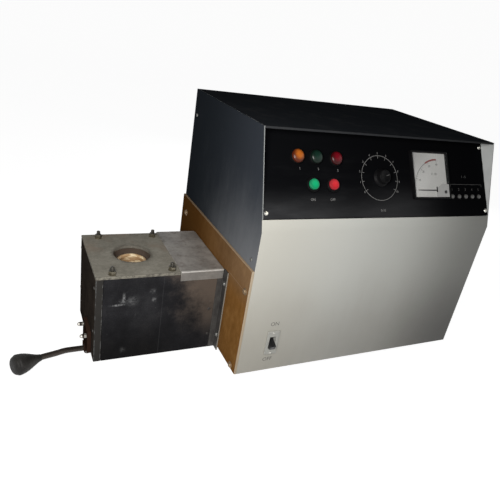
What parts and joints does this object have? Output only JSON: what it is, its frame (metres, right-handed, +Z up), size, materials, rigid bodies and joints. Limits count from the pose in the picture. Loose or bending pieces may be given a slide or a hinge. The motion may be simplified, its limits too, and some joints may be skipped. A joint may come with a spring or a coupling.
{
  "type": "electric melting furnace",
  "caption": "Bench induction furnace: hooded control cabinet with a side melting box, lift-out crucible and hand lever that raises it.",
  "frame": {"origin": "centre of the whole object's footprint, on the surface that the feet stand on", "axes": "+X to the operator's right along the cabinet's front, away from the melting box; +Y to the rear; +Z up"},
  "size_m": [1.0304, 0.4566, 0.543],
  "materials": {
    "dark_paint": "dark blue-grey satin enamel",
    "light_paint": "light warm grey satin enamel",
    "gloss_black": "gloss black panel face",
    "phenolic": "brown laminated phenolic sheet",
    "slate_board": "dark mineral board",
    "cement_board": "grey-brown cement board",
    "steel": "dull steel",
    "dark_lamp": "unlit indicator lamps in black holders",
    "amber_lens": "amber lens",
    "green_lens": "dark green lens",
    "red_lens": "red lens",
    "green_cap": "green push cap",
    "red_cap": "red push cap",
    "black_plastic": "black moulded plastic",
    "white_card": "white meter dial",
    "clear": "clear window",
    "grey_plastic": "grey moulded plastic",
    "copper": "copper tube",
    "ceramic": "pale refractory",
    "clay": "glazed golden tan clay",
    "rubber": "black rubber",
    "transformer_iron": "laminated core",
    "capacitor_blue": "blue sleeves",
    "heatsink": "extruded fins",
    "circuit_green": "green circuit board"
  },
  "bodies": {
    "cabinet": {"chassis_base": "dark_paint", "left_side_panel": "dark_paint", "right_side_panel": "dark_paint", "top_panel": "dark_paint", "rear_panel": "dark_paint", "front_panel": "light_paint", "control_panel": "gloss_black", "insulating_board": "phenolic", "lever_bracket": "phenolic", "box_end_wall": "slate_board", "box_front_wall": "slate_board", "box_rear_wall": "slate_board", "box_top_board": "cement_board", "box_floor": "cement_board", "lead_cover": "steel", "box_angle_front": "steel", "box_angle_rear": "steel", "lever_pin": "steel", "power_potentiometer": "steel", "fault_lamp_1": "dark_lamp", "fault_lamp_2": "dark_lamp", "fault_lamp_3": "dark_lamp", "fault_lamp_4": "dark_lamp", "fault_lamp_5": "dark_lamp", "amber_lamp_lens": "amber_lens", "green_lamp_lens": "green_lens", "red_lamp_lens": "red_lens", "amber_lamp_bezel": "black_plastic", "green_lamp_bezel": "black_plastic", "red_lamp_bezel": "black_plastic", "start_button_bezel": "black_plastic", "stop_button_bezel": "black_plastic", "meter_case": "black_plastic", "fan_housing": "black_plastic", "power_contactor": "black_plastic", "cable_gland": "black_plastic", "meter_dial": "white_card", "meter_window": "clear", "mode_switch_body": "grey_plastic", "induction_coil": "copper", "furnace_sleeve": "ceramic", "foot_front_left": "rubber", "foot_front_right": "rubber", "foot_rear_left": "rubber", "foot_rear_right": "rubber", "output_transformer": "transformer_iron", "capacitor_bank": "capacitor_blue", "inverter_heatsink": "heatsink", "control_board": "circuit_green"},
    "start_button": {"start_button": "green_cap"},
    "stop_button": {"stop_button": "red_cap"},
    "power_knob": {"power_knob": "black_plastic"},
    "meter_needle": {"meter_needle": "black_plastic"},
    "meter_zero_screw": {"meter_zero_screw": "black_plastic"},
    "mode_switch_lever": {"mode_switch_lever": "black_plastic"},
    "lift_lever": {"lift_lever": "steel", "lever_grip": "rubber"},
    "crucible_lifter": {"crucible_lifter": "steel"},
    "crucible": {"crucible": "clay"},
    "fan_rotor": {"fan_rotor": "black_plastic"}
  },
  "joints": [
    {"name": "lift_lever", "type": "hinge", "parent": "cabinet", "child": "lift_lever", "pos_m": [-0.36176, -0.03602, 0.015], "axis": [0, -1, 0], "range_deg": [0, 6]},
    {"name": "crucible_lift", "type": "slide", "parent": "cabinet", "child": "crucible_lifter", "axis": [0, 0, 1], "range_m": [0, 0.0099]},
    {"name": "crucible_lift_out", "type": "slide", "parent": "crucible_lifter", "child": "crucible", "axis": [0, 0, 1], "range_m": [0, 0.15]},
    {"name": "start_button", "type": "slide", "parent": "cabinet", "child": "start_button", "axis": [0, 0.858, -0.5137], "range_m": [0, 0.004], "stiffness_N_per_m": 300, "springref_m": -0.002},
    {"name": "stop_button", "type": "slide", "parent": "cabinet", "child": "stop_button", "axis": [0, 0.858, -0.5137], "range_m": [0, 0.004], "stiffness_N_per_m": 300, "springref_m": -0.002},
    {"name": "power_knob", "type": "hinge", "parent": "cabinet", "child": "power_knob", "pos_m": [0.19854, -0.16528, 0.45538], "axis": [0, 0.858, -0.5137], "range_deg": [-199, 50]},
    {"name": "meter_needle", "type": "hinge", "parent": "cabinet", "child": "meter_needle", "pos_m": [0.36024, -0.17822, 0.43376], "axis": [0, 0.858, -0.5137], "range_deg": [0, 90], "stiffness_Nm_per_rad": 0.002, "springref_deg": -5.73},
    {"name": "meter_zero_screw", "type": "hinge", "parent": "cabinet", "child": "meter_zero_screw", "pos_m": [0.37524, -0.18054, 0.4299], "axis": [0, 0.858, -0.5137], "range_deg": [-30, 30]},
    {"name": "mode_switch", "type": "hinge", "parent": "cabinet", "child": "mode_switch_lever", "pos_m": [-0.01476, -0.20602, 0.1065], "axis": [-1, 0, 0], "range_deg": [0, 50]},
    {"name": "fan_rotor", "type": "hinge", "parent": "cabinet", "child": "fan_rotor", "pos_m": [0.35524, 0.19898, 0.364], "axis": [0, 1, 0], "continuous": true}
  ],
  "couplings": [
    {"joint": "crucible_lift", "follows": "lift_lever", "m_per_rad": 0.094}
  ]
}
